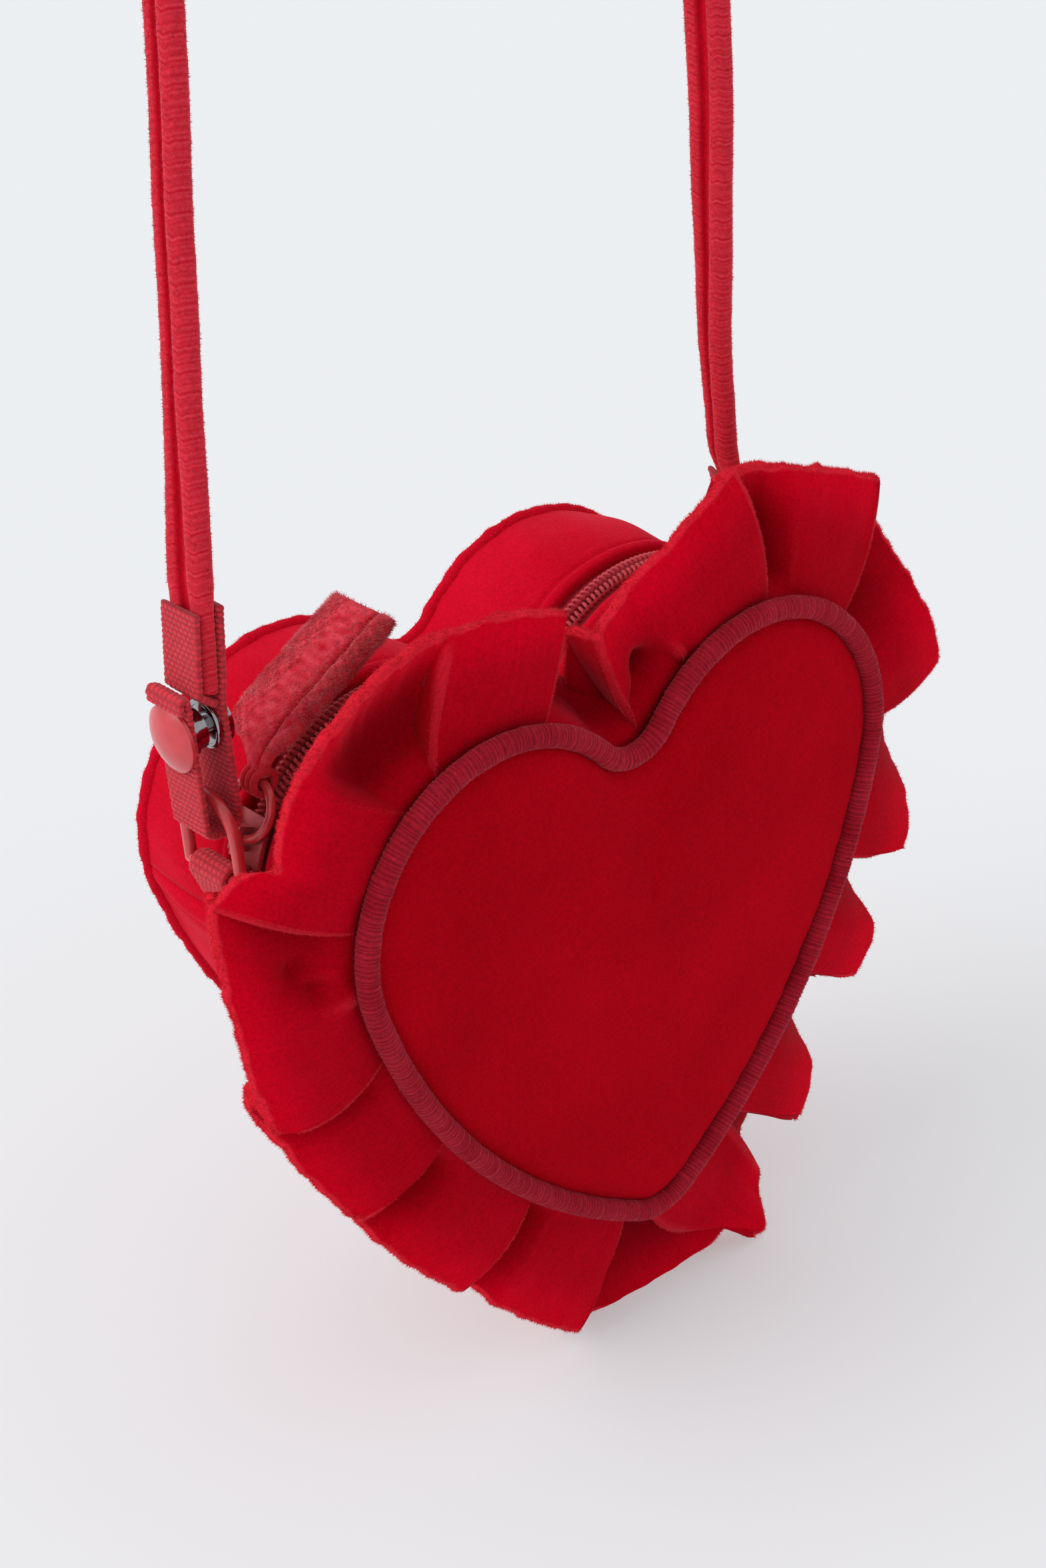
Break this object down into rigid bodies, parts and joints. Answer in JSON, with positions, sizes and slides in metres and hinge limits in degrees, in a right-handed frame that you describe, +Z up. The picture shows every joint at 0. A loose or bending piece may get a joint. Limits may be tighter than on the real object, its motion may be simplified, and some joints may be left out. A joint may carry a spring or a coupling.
{
  "type": "heart shaped purse",
  "caption": "Small heart shaped velvet purse with a pleated ruffle, a coil zip over its lobes, and a rolled strap that snaps to a side ring.",
  "frame": {"origin": "underside of the strap's crown, where the purse hangs from a hand or hook", "axes": "+Z up, -Y towards the ruffled front, +X to the right as seen from the front"},
  "size_m": [0.1801, 0.0711, 0.3389],
  "materials": {
    "velvet_panel": "deep red short pile velvet",
    "velvet_ruffle": "bright red short pile velvet, doubled and pleated",
    "velvet_body": "red short pile velvet",
    "velvet_strap": "red short pile velvet over cords",
    "webbing": "coarse woven pinkish red webbing",
    "padding": "soft wadding",
    "lining": "plain woven lining",
    "filler_cord": "soft cotton cord",
    "zip_tape": "woven zip tape",
    "zip_coil": "moulded coil, satin",
    "zip_metal": "satin paint",
    "red_enamel": "satin paint",
    "snap_chrome": "polished"
  },
  "bodies": {
    "strap": {"strap": "velvet_strap", "strap_fillers": "filler_cord", "strap_end_left": "webbing", "strap_end_right": "webbing", "snap_stud": "snap_chrome", "snap_post": "snap_chrome"},
    "bag": {"front_panel": "velvet_panel", "ruffle": "velvet_ruffle", "piping_cover": "velvet_body", "back_panel": "velvet_body", "gusset_lower": "velvet_body", "zip_strip_front": "velvet_body", "zip_strip_back": "velvet_body", "ring_tab_left": "webbing", "ring_tab_right": "webbing", "front_padding": "padding", "back_padding": "padding", "front_lining": "lining", "back_lining": "lining", "gusset_lining": "lining", "piping_core": "filler_cord", "zip_tape_front": "zip_tape", "zip_tape_back": "zip_tape", "zip_coil_front": "zip_coil", "zip_coil_back": "zip_coil", "zip_end_stops": "zip_metal"},
    "zip_slider": {"zip_slider": "zip_metal"},
    "pull_ring": {"pull_ring": "red_enamel"},
    "pull_tab": {"pull_tab": "velvet_body"},
    "d_ring_left": {"d_ring_left": "red_enamel"},
    "d_ring_right": {"d_ring_right": "red_enamel"},
    "snap_flap": {"snap_flap": "webbing", "snap_cap": "red_enamel", "snap_socket": "snap_chrome"}
  },
  "joints": [
    {"name": "bag_swing", "type": "hinge", "parent": "strap", "child": "bag", "pos_m": [0, 0, -0.19952], "axis": [1, 0, 0], "range_deg": [-20, 20]},
    {"name": "ring_left_rock", "type": "hinge", "parent": "bag", "child": "d_ring_left", "pos_m": [-0.07099, 0, -0.20802], "axis": [0, 1, 0], "range_deg": [-2.5, 2.5]},
    {"name": "ring_right_rock", "type": "hinge", "parent": "bag", "child": "d_ring_right", "pos_m": [0.06646, 0, -0.20764], "axis": [0, 1, 0], "range_deg": [-2.5, 1.5]},
    {"name": "flap_open", "type": "hinge", "parent": "strap", "child": "snap_flap", "pos_m": [-0.07529, 0, -0.19652], "axis": [0, -1, 0], "range_deg": [0, 120]},
    {"name": "zip_travel", "type": "hinge", "parent": "bag", "child": "zip_slider", "pos_m": [-0.03269, 0, -0.22002], "axis": [0, 1, 0], "range_deg": [0, 45]},
    {"name": "pull_ring_lift", "type": "hinge", "parent": "zip_slider", "child": "pull_ring", "pos_m": [-0.06466, 0, -0.20401], "axis": [0, -1, 0], "range_deg": [-2, 10]},
    {"name": "pull_tab_turn", "type": "hinge", "parent": "pull_ring", "child": "pull_tab", "pos_m": [-0.05959, 0, -0.19447], "axis": [0, -1, 0], "range_deg": [-5, 8]}
  ]
}
